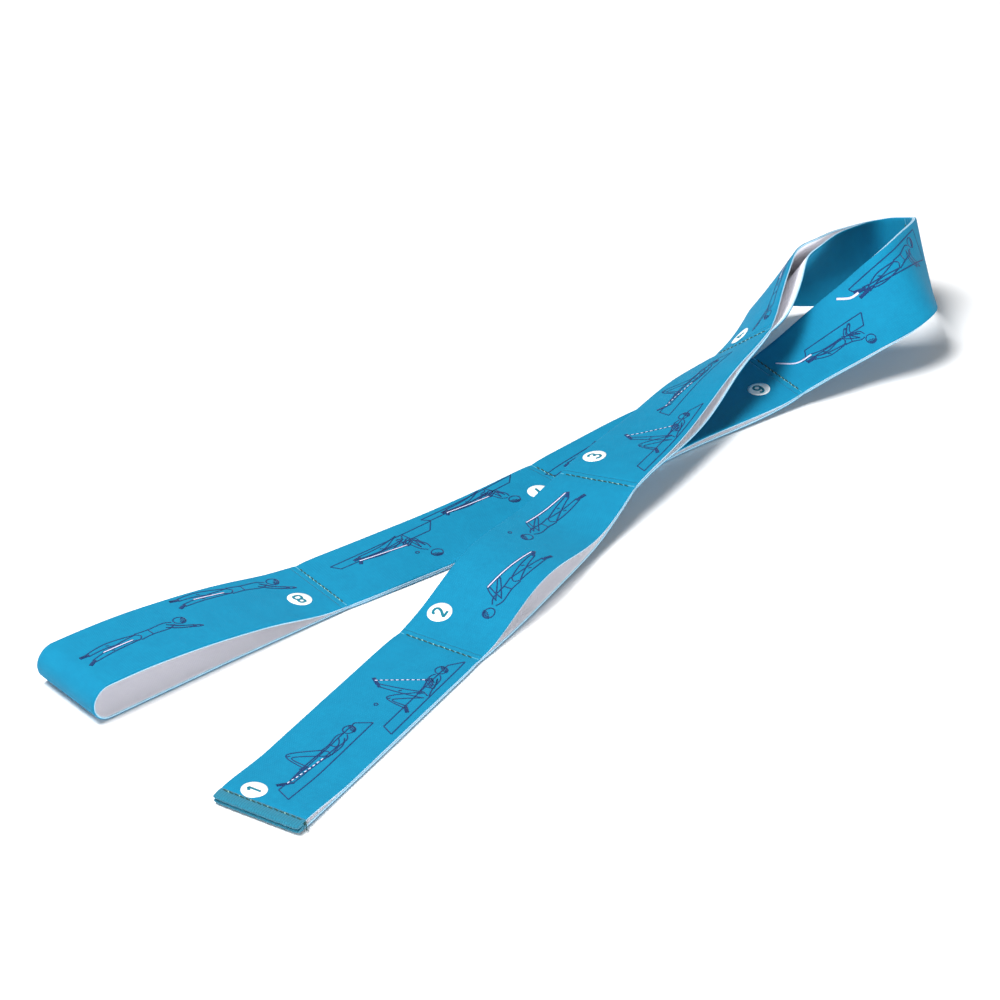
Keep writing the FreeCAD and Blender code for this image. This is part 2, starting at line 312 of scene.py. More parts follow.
def relief(s, up):
    """The cloth's slight unevenness: slow waves, and puckers beside a cross seam."""
    waves = WAVE_HEIGHT * math.sin(s / (7.3 * MM) + up / (9.0 * MM))
    waves *= math.sin(up / (6.1 * MM) - s / (23.0 * MM))
    near = math.exp(-((nearest_seam(s) - PUCKER_AT) / PUCKER_REACH) ** 2)
    return waves + PUCKER_HEIGHT * near * math.sin(2 * math.pi * up / (2 * STITCH_PITCH))


def on_face(side, s, up, lift=0.0):
    """The point of a ply's outer face at s, a height up from its right edge, and lifted off it."""
    left, right, outward = rib(side, s)
    return right.lerp(left, up / BAND_WIDTH) + outward * (thickness(s) / 2 + relief(s, up) + lift)


FACE, INNER, EDGE = 0, 1, 2  # material slots of a ply
CORNER = 0.42 * MM  # rounding of a ply's long edges
FACE_COLUMNS = 24  # columns of quads across the band
WRAP = 0.12  # the face's cloth turns over the edge down to this share
SCALLOP_PITCH = 1.6 * MM  # the weft's turns along the band's edges
SCALLOP = 0.07 * MM


def section(width, half_thick, bulge):
    """A ply's closed section: (from the left edge, outwards, material of the side that follows)."""
    wrap = WRAP * half_thick
    chamfer = 0.3 * CORNER
    flare = 0.6 * bulge
    points = []
    for i in range(FACE_COLUMNS + 1):
        x = CORNER + (width - 2 * CORNER) * i / FACE_COLUMNS
        points.append((x, half_thick, FACE))
    points.append((width - chamfer + flare, half_thick - chamfer, FACE))
    points.append((width + bulge, wrap, EDGE))
    points.append((width + bulge, -wrap, EDGE))
    points.append((width - chamfer + flare, chamfer - half_thick, EDGE))
    for i in range(FACE_COLUMNS + 1):
        x = width - CORNER - (width - 2 * CORNER) * i / FACE_COLUMNS
        points.append((x, -half_thick, INNER if i < FACE_COLUMNS else EDGE))
    points.append((chamfer - flare, chamfer - half_thick, EDGE))
    points.append((-bulge, -wrap, EDGE))
    points.append((-bulge, wrap, FACE))
    points.append((chamfer - flare, half_thick - chamfer, FACE))
    return points


def add_object(name, data):
    """A new object in the scene."""
    made = bpy.data.objects.new(name, data)
    bpy.context.scene.collection.objects.link(made)
    return made


def ring_faces(count, size, base=0):
    """The quads that join count rings, each of size vertices, the first starting at base."""
    faces = []
    for i in range(count - 1):
        a, b = base + i * size, base + (i + 1) * size
        for j in range(size):
            k = (j + 1) % size
            faces.append((a + j, a + k, b + k, b + j))
    return faces


def make_object(name, verts, faces, materials, face_slots=None, uvs=None):
    """A mesh object with smooth faces and flat end caps."""
    mesh = bpy.data.meshes.new(name)
    mesh.from_pydata([tuple(v) for v in verts], [], faces)
    for material in materials:
        mesh.materials.append(material)
    if face_slots:
        mesh.polygons.foreach_set("material_index", face_slots)
    mesh.polygons.foreach_set("use_smooth", [len(face) <= 4 for face in faces])
    if uvs:
        layer = mesh.uv_layers.new(name="cloth")
        layer.data.foreach_set("uv", [value for corner in uvs for value in corner])
    tidy = bmesh.new()
    tidy.from_mesh(mesh)
    bmesh.ops.recalc_face_normals(tidy, faces=tidy.faces)
    tidy.to_mesh(mesh)
    tidy.free()
    mesh.update()
    return add_object(name, mesh)


def sweep_strip(name, ribs, materials):
    """A ply swept through ribs of (left, right, outward, half thickness, distance along the cloth)."""
    verts, slots, uvs, outlines = [], [], [], []
    for left, right, outward, half_thick, along in ribs:
        direction = (right - left).normalized()
        width = (right - left).length
        bulge = SCALLOP * math.sin(2 * math.pi * along / SCALLOP_PITCH)
        outline = section(width, half_thick, bulge)
        outlines.append(outline)
        for x, y, slot in outline:
            swell = relief(along, width - x) if y > 0 and slot == FACE else 0.0
            verts.append(left + direction * x + outward * (y + swell))
    girth = [0.0]
    for (x0, y0, _), (x1, y1, _) in zip(outlines[0], outlines[0][1:] + outlines[0][:1]):
        girth.append(girth[-1] + math.hypot(x1 - x0, y1 - y0))
    size = len(outlines[0])
    faces = ring_faces(len(ribs), size)
    for i in range(len(ribs) - 1):
        low, high = ribs[i][4] / MM, ribs[i + 1][4] / MM
        for j in range(size):
            slots.append(outlines[0][j][2])
            u, v = girth[j] / MM, girth[j + 1] / MM
            uvs += [(u, low), (v, low), (v, high), (u, high)]
    for base, order in ((0, range(size - 1, -1, -1)), ((len(ribs) - 1) * size, range(size))):
        faces.append([base + j for j in order])
        slots.append(EDGE)
        uvs += [(outlines[0][j][0] / MM, outlines[0][j][1] / MM) for j in order]
    return make_object(name, verts, faces, materials, slots, uvs)


SECTION_STEP = 0.8 * MM


def steps(start, stop):
    """Even distances from start to stop."""
    count = max(2, round((stop - start) / SECTION_STEP))
    return [start + (stop - start) * i / count for i in range(count + 1)]


def plain_ply(loop, side, materials):
    """One ply of loops 1 to 7: from just past one seam to just past the next, bending at that seam."""
    word = "front" if side > 0 else "back"
    start = HEM_LENGTH - 0.4 * MM if loop == 1 else seam(loop - 1) + BEND_HALF
    stop = seam(loop) + BEND_HALF
    ribs = [(*rib(side, s), thickness(s) / 2, s) for s in steps(start, stop)]
    piece = sweep_strip(f"{word}_band_{loop}", ribs, materials)
    cross_seam(piece, loop)
    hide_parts(f"{word}_ply_{loop}")


def cross_seam(piece, number):
    """Bakes the piece's transform into its mesh at a cross seam. Seam 4 is at the tip of the turn, where the
    band's bend leans towards the front, so that all of loop 4 stays on the near side."""
    centre, travel, across, normal = route.frame(seam(number))
    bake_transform(piece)


def loop_8_band(materials):
    """The band of loop 8, in one run over the front, round the wide fold and back underneath."""
    ribs = []
    along = seam(7) + BEND_HALF
    last = None

    def add(left, right, outward, half_thick):
        nonlocal along, last
        middle = (left + right) / 2
        if last is not None:
            along += (middle - last).length
        last = middle
        ribs.append((left, right, outward, half_thick, along))

    for s in steps(seam(7) + BEND_HALF, seam(7) + NOSE_CENTRE)[:-1]:
        add(*rib(1, s), thickness(s) / 2)
    turns = 32
    for i in range(turns + 1):
        turn = math.pi * i / turns
        d = NOSE_CENTRE + NOSE_RADIUS * math.sin(turn)
        centre, travel, across, normal = route.frame(seam(7) + d)
        height = PLY / 2 + FLOOR_AIR * MM + NOSE_RADIUS * (1 + math.cos(turn)) + SHIFT.z
        middle = centre + normal * (height - centre.z)
        outward = normal * math.cos(turn) + travel * math.sin(turn)
        add(middle - across * BAND_WIDTH / 2, middle + across * BAND_WIDTH / 2, outward, PLY / 2)
    for s in steps(seam(7) + NOSE_CENTRE, seam(7) + BEND_HALF)[1:]:
        add(*rib(-1, s), thickness(s) / 2)
    piece = sweep_strip("band_8", ribs, materials)
    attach(piece, "loop_8")
    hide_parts("front_ply_8", "end_fold", "back_ply_8")


# ---- hem and thread
HEM_RIB = 1.1 * MM
HEM_RIB_DEPTH = 0.075 * MM
HEM_SLOW_RIB_DEPTH = 0.04 * MM
HEM_TUCK = 0.45 * MM  # how much the roll tightens at its two ends
HEM_FURROW = 0.66  # height of the stitches' furrow in the roll's radius
BACK_HEM_LOW = -PLY_AIR - PLY + HEM_RAISED  # underside of the back roll from the middle surface
FRONT_HEM_LOW = BACK_HEM_LOW + HEM_ROLL + PLY_AIR


def hem_roll(name, low, reach, material):
    """One turned-back end: a soft ribbed roll across the band."""
    radius = HEM_ROLL / 2
    nose = radius - reach
    across_steps, rim = 144, 14
    verts = []
    centre, travel, across, normal = route.frame(HEM_LENGTH)
    for i in range(across_steps + 1):
        share = i / across_steps
        ribbing = HEM_RIB_DEPTH * math.sin(2 * math.pi * share * BAND_WIDTH / HEM_RIB)
        ribbing += HEM_SLOW_RIB_DEPTH * math.sin(2 * math.pi * share * BAND_WIDTH / (3.7 * HEM_RIB))
        r = radius + ribbing - HEM_TUCK * abs(2 * share - 1) ** 14
        base = centre + across * (share - 0.5) * BAND_WIDTH + normal * (low + radius)
        outline = [(HEM_LENGTH + 0.2 * MM, 0.80 * radius), (HEM_STITCH_AT + 0.35 * MM, 0.76 * radius),
                   (HEM_STITCH_AT, HEM_FURROW * radius), (HEM_STITCH_AT - 0.45 * MM, 0.78 * radius),
                   (0.72 * HEM_LENGTH, 0.93 * radius)]
        for j in range(rim + 1):
            turn = math.pi / 2 + math.pi * j / rim
            outline.append((nose + r * 1.25 * math.cos(turn), r * math.sin(turn)))
        outline += [(0.72 * HEM_LENGTH, -0.98 * radius), (HEM_LENGTH + 0.2 * MM, -0.98 * radius)]
        verts += [base + travel * (d - HEM_LENGTH) + normal * h for d, h in outline]
    size = len(outline)
    faces = ring_faces(across_steps + 1, size)
    faces.append(list(range(size)))
    faces.append([across_steps * size + j for j in range(size)])
    uvs = [(corner // size * BAND_WIDTH / across_steps / MM, corner % size * 0.6)
           for face in faces for corner in face]
    piece = make_object(name, verts, faces, [material], uvs=uvs)
    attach(piece, "loop_1")
    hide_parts(name.replace("_roll", ""))


def tube(verts, faces, points, radii, sides=8):
    """Adds a closed tube along points, with a radius at each, to a mesh's lists."""
    base = len(verts)
    for i, (point, radius) in enumerate(zip(points, radii)):
        ahead = points[min(i + 1, len(points) - 1)] - points[max(i - 1, 0)]
        ahead.normalize()
        side = ahead.cross(Vector((0.31, 0.17, 0.93))).normalized()
        other = ahead.cross(side)
        for j in range(sides):
            turn = 2 * math.pi * j / sides
            verts.append(point + side * radius * math.cos(turn) + other * radius * math.sin(turn))
    faces += ring_faces(len(points), sides, base)
    faces.append([base + j for j in range(sides)][::-1])
    faces.append([base + (len(points) - 1) * sides + j for j in range(sides)])


def on_front_hem(side, s, up, lift=0.0):
    """The point in the front hem's furrow, a height up from the right edge, and lifted off it."""
    centre, travel, across, normal = route.frame(HEM_LENGTH)
    height = FRONT_HEM_LOW + (1 + HEM_FURROW) * HEM_ROLL / 2 + lift
    return centre + travel * (s - HEM_LENGTH) + across * (BAND_WIDTH / 2 - up) + normal * height


STITCH_RADIUS = 0.34 * MM
GLINT_LENGTH = 1.0 * MM
GLINT_SHARE = 0.6  # share of the stitches with a glint after them
BOBBIN_RADIUS = 0.16 * MM
KNOT_RADIUS = 0.2 * MM  # of its thread
KNOT_HALF = 0.62 * MM  # half its width
KNOT_TURNS = 3.3


def stitch(verts, faces, place, side, s, up, length, radius, slant=0.0):
    """Adds one stitch lying on the cloth, its two ends dipping into it; it also shapes the pale painted
    highlights beside the stitches.
    """
    points, radii = [], []
    for i in range(9):
        t = i / 8
        rise = math.sin(math.pi * t) ** 0.5
        lift = radius * (1.3 * rise - 0.8)
        points.append(place(side, s + slant * (t - 0.5), up + length * (t - 0.5), lift))
        radii.append(radius * (0.55 + 0.45 * rise))
    tube(verts, faces, points, radii)


def stitch_row(name, number, side, materials, place=on_face, count=STITCHES, s=None, pitch=STITCH_PITCH):
    """A row of lockstitch: dark stitches, and beside them short pale tubes that are painted highlights on the
    thread.
    """
    s = seam(number) if s is None else s
    dice = random.Random(17 * number + (3 if side > 0 else 8))
    verts, faces, slots = [], [], []
    for i in range(count):
        up = BAND_WIDTH / 2 + (i - (count - 1) / 2) * pitch
        wander = dice.uniform(-0.12, 0.12) * MM
        stitch(verts, faces, place, side, s + wander, up, pitch * dice.uniform(0.86, 0.98), STITCH_RADIUS,
               slant=dice.uniform(0.3, 0.7) * MM)
        slots += [0] * (len(faces) - len(slots))
        # painted highlight: a short pale tube half a pitch on stands in for a glint of light on the thread
        if i < count - 1 and dice.random() < GLINT_SHARE:
            stitch(verts, faces, place, side, s + 0.22 * MM, up + pitch / 2, GLINT_LENGTH,
                   dice.uniform(0.15, 0.21) * MM, slant=0.5 * MM)
            slots += [1] * (len(faces) - len(slots))
    piece = make_object(name, verts, faces, materials, slots)
    return piece


def seam_threads(materials):
    """Both rows of thread at every cross seam."""
    for number in range(1, LOOPS):
        for word, side in (("needle", 1), ("bobbin", -1)):
            row = stitch_row(f"{word}_row_{number}", number, side, materials)
            cross_seam(row, number)
            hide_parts(f"{word}_thread_{number}")


HEM_PITCH = (BAND_WIDTH - 2.4 * MM) / HEM_STITCHES


def hem_needle_row(materials):
    """The hem's stitch row on top."""
    row = stitch_row("hem_needle_row", 0, 1, materials, on_front_hem, HEM_STITCHES, HEM_STITCH_AT, HEM_PITCH)
    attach(row, "loop_1")
    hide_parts("hem_needle_thread")


def hem_bobbin_row(materials):
    """The hem's bobbin row underneath."""
    centre, travel, across, normal = route.frame(HEM_STITCH_AT)
    low = BACK_HEM_LOW - 0.05 * MM
    verts, faces = [], []
    for i in range(HEM_STITCHES):
        middle = (i - (HEM_STITCHES - 1) / 2) * HEM_PITCH
        points = [centre + normal * (low + 0.2 * MM * (2 * j / 6 - 1) ** 4)
                  + across * (middle + HEM_PITCH * 0.8 * (j / 6 - 0.5)) for j in range(7)]
        tube(verts, faces, points, [BOBBIN_RADIUS] * len(points))
    under = make_object("hem_bobbin_row", verts, faces, materials)
    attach(under, "loop_1")
    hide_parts("hem_bobbin_thread")


def hem_knot(materials):
    """The knot at the right end of the hem's seam, and its tail."""
    centre, travel, across, normal = route.frame(HEM_STITCH_AT)
    verts, faces, points = [], [], []
    middle = centre + across * (BAND_WIDTH / 2 + 0.2 * MM) + normal * 1.9 * MM
    turns = 60
    for i in range(turns + 1):
        t = i / turns
        swirl = 2 * math.pi * KNOT_TURNS * t
        size = KNOT_HALF * math.sin(math.pi * (0.12 + 0.8 * t))
        points.append(middle + across * size * math.cos(swirl) * 0.8 + normal * size * math.sin(swirl)
                      + travel * (1.5 * t - 0.75) * MM)
    tail = points[-1]
    for i in range(1, 7):
        points.append(tail + across * 0.25 * i * MM - normal * 0.06 * i * i * MM - travel * 0.3 * i * MM)
    tube(verts, faces, points, [KNOT_RADIUS] * len(points))
    knot = make_object("hem_knot", verts, faces, materials)
    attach(knot, "loop_1")
    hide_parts("hem_thread_knot")


# ---- print
INK_LIFT = 0.07 * MM
INK_DEEP = 0.03 * MM
PRINT_MARGIN = 0.8  # no print nearer to the band's edges, millimetres
LINE = 0.54 * MM
OVERPRINT = 0.02 * MM  # pale ink lies this far over the dark
DIGIT_OVERPRINT = 0.045 * MM  # and digits over their disc


def smooth_line(points, gap):
    """A Catmull-Rom line through points in millimetres, with a point about every gap."""
    if len(points) == 2:
        a, b = points
        count = max(1, round(math.dist(a, b) / gap))
        return [(a[0] + (b[0] - a[0]) * i / count, a[1] + (b[1] - a[1]) * i / count)
                for i in range(count + 1)]
    closed = points[0] == points[-1]
    out = []
    for i in range(len(points) - 1):
        p1, p2 = points[i], points[i + 1]
        p0 = points[i - 1] if i > 0 else (points[-2] if closed else p1)
        p3 = points[i + 2] if i + 2 < len(points) else (points[1] if closed else p2)
        count = max(1, round(math.dist(p1, p2) / gap))
        for j in range(count):
            t = j / count
            out.append(tuple(0.5 * (2 * b + (c - a) * t + (2 * a - 5 * b + 4 * c - d) * t * t
                                    + (3 * b - a - 3 * c + d) * t ** 3)
                             for a, b, c, d in zip(p0, p1, p2, p3)))
    out.append(points[-1])
    return out


DIGIT_HEIGHT = 6.0  # millimetres
DIGIT_LINE = 1.25 * MM
DIGITS = {  # each numeral's strokes, in shares of its height
    1: [[(-0.26, 0.24), (0.04, 0.5)], [(0.04, 0.5), (0.04, -0.5)]],
    2: [[(-0.28, 0.26), (-0.2, 0.43), (0.0, 0.5), (0.23, 0.42), (0.28, 0.2), (0.14, -0.06), (-0.28, -0.48)],
        [(-0.3, -0.48), (0.32, -0.48)]],
    3: [[(-0.27, 0.36), (-0.1, 0.48), (0.12, 0.48), (0.26, 0.32), (0.2, 0.12), (-0.02, 0.04)],
        [(-0.02, 0.04), (0.22, -0.04), (0.3, -0.25), (0.18, -0.45), (-0.02, -0.5), (-0.2, -0.44),
         (-0.3, -0.3)]],
    4: [[(0.12, -0.5), (0.12, 0.5)], [(0.12, 0.5), (-0.32, -0.18)], [(-0.32, -0.18), (0.32, -0.18)]],
    5: [[(0.26, 0.48), (-0.2, 0.48)], [(-0.2, 0.48), (-0.24, 0.04)],
        [(-0.24, 0.04), (0.0, 0.13), (0.22, 0.06), (0.3, -0.16), (0.2, -0.4), (-0.02, -0.5), (-0.28, -0.4)]],
    6: [[(0.24, 0.4), (0.04, 0.5), (-0.18, 0.36), (-0.28, 0.0), (-0.26, -0.3), (-0.1, -0.48), (0.1, -0.48),
         (0.27, -0.32), (0.27, -0.08), (0.1, 0.08), (-0.1, 0.06), (-0.26, -0.1)]],
    7: [[(-0.3, 0.48), (0.3, 0.48)], [(0.3, 0.48), (0.06, 0.06), (-0.08, -0.5)]],
    8: [[(0.0, 0.5), (0.21, 0.4), (0.21, 0.14), (0.0, 0.04), (-0.21, 0.14), (-0.21, 0.4), (0.0, 0.5)],
        [(0.0, 0.04), (0.27, -0.1), (0.27, -0.4), (0.0, -0.5), (-0.27, -0.4), (-0.27, -0.1), (0.0, 0.04)]],
}


class Print:
    """Flat printed shapes on the front of one loop, in millimetres: x along from the loop's start, y up."""

    def __init__(self, loop, lift=INK_LIFT):
        self.loop, self.lift = loop, lift
        self.verts, self.faces = [], []

    def point(self, x, y, lift):
        """A point on the cloth, kept off the band's edges."""
        inside = min(max(y, PRINT_MARGIN), BAND_WIDTH / MM - PRINT_MARGIN)
        return on_face(1, seam(self.loop - 1) + x * MM, inside * MM, lift)

    def line(self, points, width=LINE, gap=0.9):
        """A line of ink."""
        points = smooth_line(points, gap)
        base = len(self.verts)
        half = width / MM / 2
        for i, (x, y) in enumerate(points):
            x0, y0 = points[max(i - 1, 0)]
            x1, y1 = points[min(i + 1, len(points) - 1)]
            run = math.hypot(x1 - x0, y1 - y0) or 1.0
            nx, ny = -(y1 - y0) / run * half, (x1 - x0) / run * half
            for a, b, c in ((1, 1, INK_DEEP), (-1, -1, INK_DEEP), (-1, -1, 0.0), (1, 1, 0.0)):
                self.verts.append(self.point(x + nx * a, y + ny * b, self.lift + c))
        self.faces += ring_faces(len(points), 4, base)
        last = base + 4 * (len(points) - 1)
        self.faces.append((base, base + 3, base + 2, base + 1))
        self.faces.append((last, last + 1, last + 2, last + 3))

    def disc(self, x, y, radius):
        """A filled disc."""
        rings, sides = 5, 48
        base = len(self.verts)
        for layer in (INK_DEEP, 0.0):
            lift = self.lift + layer
            self.verts.append(self.point(x, y, lift))
            for i in range(1, rings + 1):
                r = radius * i / rings
                for j in range(sides):
                    turn = 2 * math.pi * j / sides
                    self.verts.append(self.point(x + r * math.cos(turn), y + r * math.sin(turn), lift))
        size = 1 + rings * sides
        for layer in (0, 1):
            start = base + layer * size
            self.faces += [(start, start + 1 + j, start + 1 + (j + 1) % sides) for j in range(sides)]
            self.faces += ring_faces(rings, sides, start + 1)
        rim, under = base + 1 + (rings - 1) * sides, base + size + 1 + (rings - 1) * sides
        for j in range(sides):
            k = (j + 1) % sides
            self.faces.append((rim + j, under + j, under + k, rim + k))

    def digit(self, number, x, y):
        """A numeral whose top is towards the left edge."""
        for stroke in DIGITS[number]:
            points = [(x + DIGIT_HEIGHT * a, y + DIGIT_HEIGHT * b) for a, b in stroke]
            self.line(points, DIGIT_LINE, 0.35)

    def make(self, name, material):
        """The printed piece, riding on its loop."""
        piece = make_object(f"{name}_{self.loop}", self.verts, self.faces, [material])
        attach(piece, f"loop_{self.loop}")


HEAD = 2.7  # radius of a printed figure's head, millimetres
LEG = (2.1, 1.5, 0.9)  # half widths at hip, knee and ankle
ARM = (1.2, 0.9, 0.6)  # at shoulder, elbow and hand
BODY = (0.9, 2.5, 2.0, 2.6)  # at neck, shoulder, waist and hip
BELT = 1.9  # at the lines across the body


def offset_line(joints, radii, sign):
    """A line beside a chain of joints, a radius away from each."""
    out = []
    for i, ((x, y), radius) in enumerate(zip(joints, radii)):
        x0, y0 = joints[max(i - 1, 0)]
        x1, y1 = joints[min(i + 1, len(joints) - 1)]
        run = math.hypot(x1 - x0, y1 - y0) or 1.0
        out.append((x - (y1 - y0) / run * radius * sign, y + (x1 - x0) / run * radius * sign))
    return out


def limb(ink, joints, radii):
    """A limb's two outlines."""
    for sign in (1, -1):
        ink.line(offset_line(joints, radii, sign))


def between(a, b, t):
    """The point a share t of the way from a to b."""
    return a[0] + (b[0] - a[0]) * t, a[1] + (b[1] - a[1]) * t


def foot(ink, ankle, toe):
    """A shoe."""
    heel = between(ankle, toe, -0.3)
    ink.line([heel, toe], 1.3 * MM)
    ink.line([between(ankle, toe, 0.1), toe], 1.7 * MM)


def oval(ink, x, y, across, high, sides):
    """A closed oval line."""
    ring = [(x + across * math.cos(2 * math.pi * i / sides), y + high * math.sin(2 * math.pi * i / sides))
            for i in range(sides)]
    ink.line(ring + ring[:1])


def person(ink, head, neck, hip, arms, legs):
    """A plain figure without a face; arms are (elbow, hand) and legs (knee, ankle, toe)."""
    oval(ink, *head, HEAD, 0.9 * HEAD, 10)
    away = math.atan2(head[1] - neck[1], head[0] - neck[0])
    turns = [away - 0.7 + spread for spread in (-1.2, -0.6, 0.0, 0.6, 1.2)]
    for reach, width in ((1.0, 0.8), (0.68, 0.55), (0.36, 0.5)):
        hair = [(head[0] + HEAD * reach * math.cos(turn), head[1] + HEAD * reach * math.sin(turn))
                for turn in turns]
        ink.line(hair, width * MM)
    shoulder = between(neck, hip, 0.16)
    waist = between(neck, hip, 0.62)
    limb(ink, [between(head, neck, 0.8), shoulder, waist, hip], BODY)
    beside, other = (offset_line([shoulder, waist, hip], [BELT] * 3, sign) for sign in (1, -1))
    ink.line([beside[1], waist, other[1]])
    ink.line([beside[2], between(waist, hip, 0.75), other[2]])
    for elbow, hand in arms:
        limb(ink, [shoulder, elbow, hand], ARM)
        ink.line([between(elbow, hand, 0.9), between(elbow, hand, 1.12)], 1.0 * MM)
    for knee, ankle, toe in legs:
        limb(ink, [hip, knee, ankle], LEG)
        ink.line([(knee[0] - 0.8, knee[1] + 0.7), (knee[0] + 0.5, knee[1] - 0.2)])
        foot(ink, ankle, toe)


def mat(ink, *corners):
    """An exercise mat's outline."""
    for a, b in zip(corners, corners[1:] + corners[:1]):
        ink.line([a, b])


def held_strap(ink, white, start, stop, dash=None):
    """The strap a figure holds: a pale line, whole between two dark ones or dashed."""
    if dash is None:
        white.line([start, stop], 0.55 * MM)
        for sign in (1, -1):
            ink.line(offset_line([start, stop], [0.45, 0.45], sign), LINE * 0.8)
        return
    ink.line([start, stop], LINE)
    count = round(math.dist(start, stop) / dash)
    for i in range(count):
        white.line([between(start, stop, (i + 0.2) / count), between(start, stop, (i + 0.75) / count)],
                   0.5 * MM)


def placed(x, y, tall=1.0, lean=0.0):
    """A function that gives the point a step from (x, y), stretched upwards and leaning."""
    return lambda dx, dy: (x + dx, y + dy * tall + lean * dx)


def lying_down(ink, white, x, y):
    """A figure lying on a mat, one knee bent, a strap from its hand to the other foot."""
    at = placed(x, y)
    mat(ink, at(0, 0), at(62, 0.5), at(58, 7), at(3.5, 7))
    person(ink, at(53, 6.5), at(49, 6), at(35, 5.5), [(at(42, 3.5), at(33, 4))],
           [(at(25.5, 17), at(22.5, 7), at(20, 8)), (at(23, 6.5), at(10, 6), at(5.5, 9.5))])
    held_strap(ink, white, at(9, 7), at(32, 4.5), 2.6)


def leg_raised(ink, white, x, y):
    """A figure lying on a mat with one leg straight up, its foot in a strap held in both hands."""
    at = placed(x, y)
    mat(ink, at(0, 0), at(59.5, 1), at(53.5, 6), at(3, 5.5))
    person(ink, at(49, 6.5), at(45, 6), at(30, 3.5),
           [(at(36.5, 3), at(40, 8)), (at(39, 3.5), at(41.5, 7))],
           [(at(28, 13), at(26.5, 23), at(30, 27.5)), (at(21, 14), at(19, 5), at(16, 2.5))])
    held_strap(ink, white, at(28.5, 26.5), at(40, 8), 2.2)


def holding_down(ink, white, x, y, reach):
    """A standing figure holding a strap from its hands to its feet."""
    at = placed(x, y)
    person(ink, at(0, 0), at(5.5, 0.3), at(21, -0.5),
           [(at(10, reach * 0.55), at(12, reach - 0.5)), (at(14, 3.5), at(19, reach - 1.5))],
           [(at(31, 1.5), at(41, 2.5), at(44, 4)), (at(31, -2), at(41, -3), at(45, -4.5))])
    held_strap(ink, white, at(12, reach), at(43, 4.5))


def folding(ink, white, x, y, tall=1.0):
    """A seated figure bending forward over its legs, the strap round its feet."""
    at = placed(x, y, tall)
    mat(ink, at(-13, -1), at(44, 3), at(41, 7), at(-8, 5))
    person(ink, at(0, 21), at(1, 15.5), at(6.5, 1.5), [(at(2, 6.5), at(7, 9)), (at(4, 5), at(8, 7.5))],
           [(at(18, 7), at(30, 6), at(32, 9)), (at(18, 4), at(30, 4.5), at(33, 5))])
    held_strap(ink, white, at(7, 8.5), at(31, 6.5))


def pulled_up(ink, white, x, y):
    """A figure leaning on its hands by a mat, the strap's loose end past its feet."""
    at = placed(x, y)
    mat(ink, at(-4.5, -14.5), at(29, -15.5), at(33, -9), at(-1.5, -8))
    person(ink, at(0, 0), at(2, -4), at(12, -7), [(at(7, -9), at(4, -13)), (at(9.5, -8), at(7, -12))],
           [(at(23, -8), at(30, -11), at(35, -11)), (at(22, -5.5), at(29, -8), at(33, -8))])
    white.line([at(28.5, -11), at(37, -12), at(43.5, -20)], 0.9 * MM)


def side_on_mat(ink, white, x, y):
    """A figure propped on one arm over a mat, the strap's loose end past its feet."""
    at = placed(x, y)
    mat(ink, at(-9, -4), at(46, -1.5), at(44, 3), at(-10, 12))
    person(ink, at(0, 0), at(4, 1.5), at(18, 3.5), [(at(5, 7.5), at(1, 12)), (at(8, 6), at(5, 11))],
           [(at(30, 5), at(40, 3), at(45, 1.5)), (at(29, 2.5), at(38, 5), at(44, 5.5))])
    white.line([at(43, 3), at(48, 2.5), at(53, -1.5)], 1.2 * MM)


def bending(ink, white, x, y, lean):
    """A standing figure bent forward, its arms past its head, holding the strap at its knees."""
    at = placed(x, y, lean=lean)
    person(ink, at(0, 0), at(4.5, 0.5), at(22, 0.5), [(at(3.5, 4), at(-3, 7)), (at(1.5, 5), at(-5.5, 8.5))],
           [(at(36, 1.5), at(46.5, 3), at(49.5, 4.5)), (at(36, -2.5), at(46.5, -2), at(50, -2.5))])
    held_strap(ink, white, at(25, 1), at(40, 0.5))


FIGURES = {  # each loop's two exercises: drawing, then its place
    1: [(lying_down, 13, 13), (leg_raised, 72, 3)],
    2: [(holding_down, 25.5, 11, 8), (holding_down, 79.5, 24, 7.5)],
    3: [(leg_raised, 12, 2), (lying_down, 62, 17)],
    4: [(bending, 13, 7, 0.0), (holding_down, 84, 20, 7)],
    5: [(side_on_mat, 36, 6.5), (pulled_up, 88.5, 33)],
    6: [(folding, 47, 3), (folding, 94, 8)],
    7: [(folding, 27, 1.5, 0.74), (folding, 81, 8)],
    8: [(bending, 16.5, 7, -0.03), (bending, 72, 17.5, 0.05)],
}
RING_AT = {1: (86.5, 19.5), 2: (78, 32), 7: (88, 24)}  # a small round mark beside a figure
DISC_AT = {1: (11.3, 28), 2: (18, 31), 3: (18, 32), 4: (9.5, 27),
           5: (16, 28), 6: (14, 23), 7: (14.5, 20), 8: (15, 25)}
DISC_RADIUS = 5.4


def prints(materials):
    """Everything printed on the band's front."""
    for loop in range(1, LOOPS + 1):
        ink, discs = Print(loop), Print(loop)
        white = Print(loop, INK_LIFT + OVERPRINT)
        digits = Print(loop, INK_LIFT + DIGIT_OVERPRINT)
        for draw, *where in FIGURES[loop]:
            draw(ink, white, *where)
        if loop in RING_AT:
            oval(ink, *RING_AT[loop], 0.9, 0.8, 6)
        x, y = DISC_AT[loop]
        discs.disc(x, y, DISC_RADIUS)
        digits.digit(loop, x, y)
        ink.make("figure_ink", materials["ink"])
        white.make("figure_white", materials["lilac"])
        discs.make("number_disc", materials["white"])
        digits.make("number", materials["digit"])


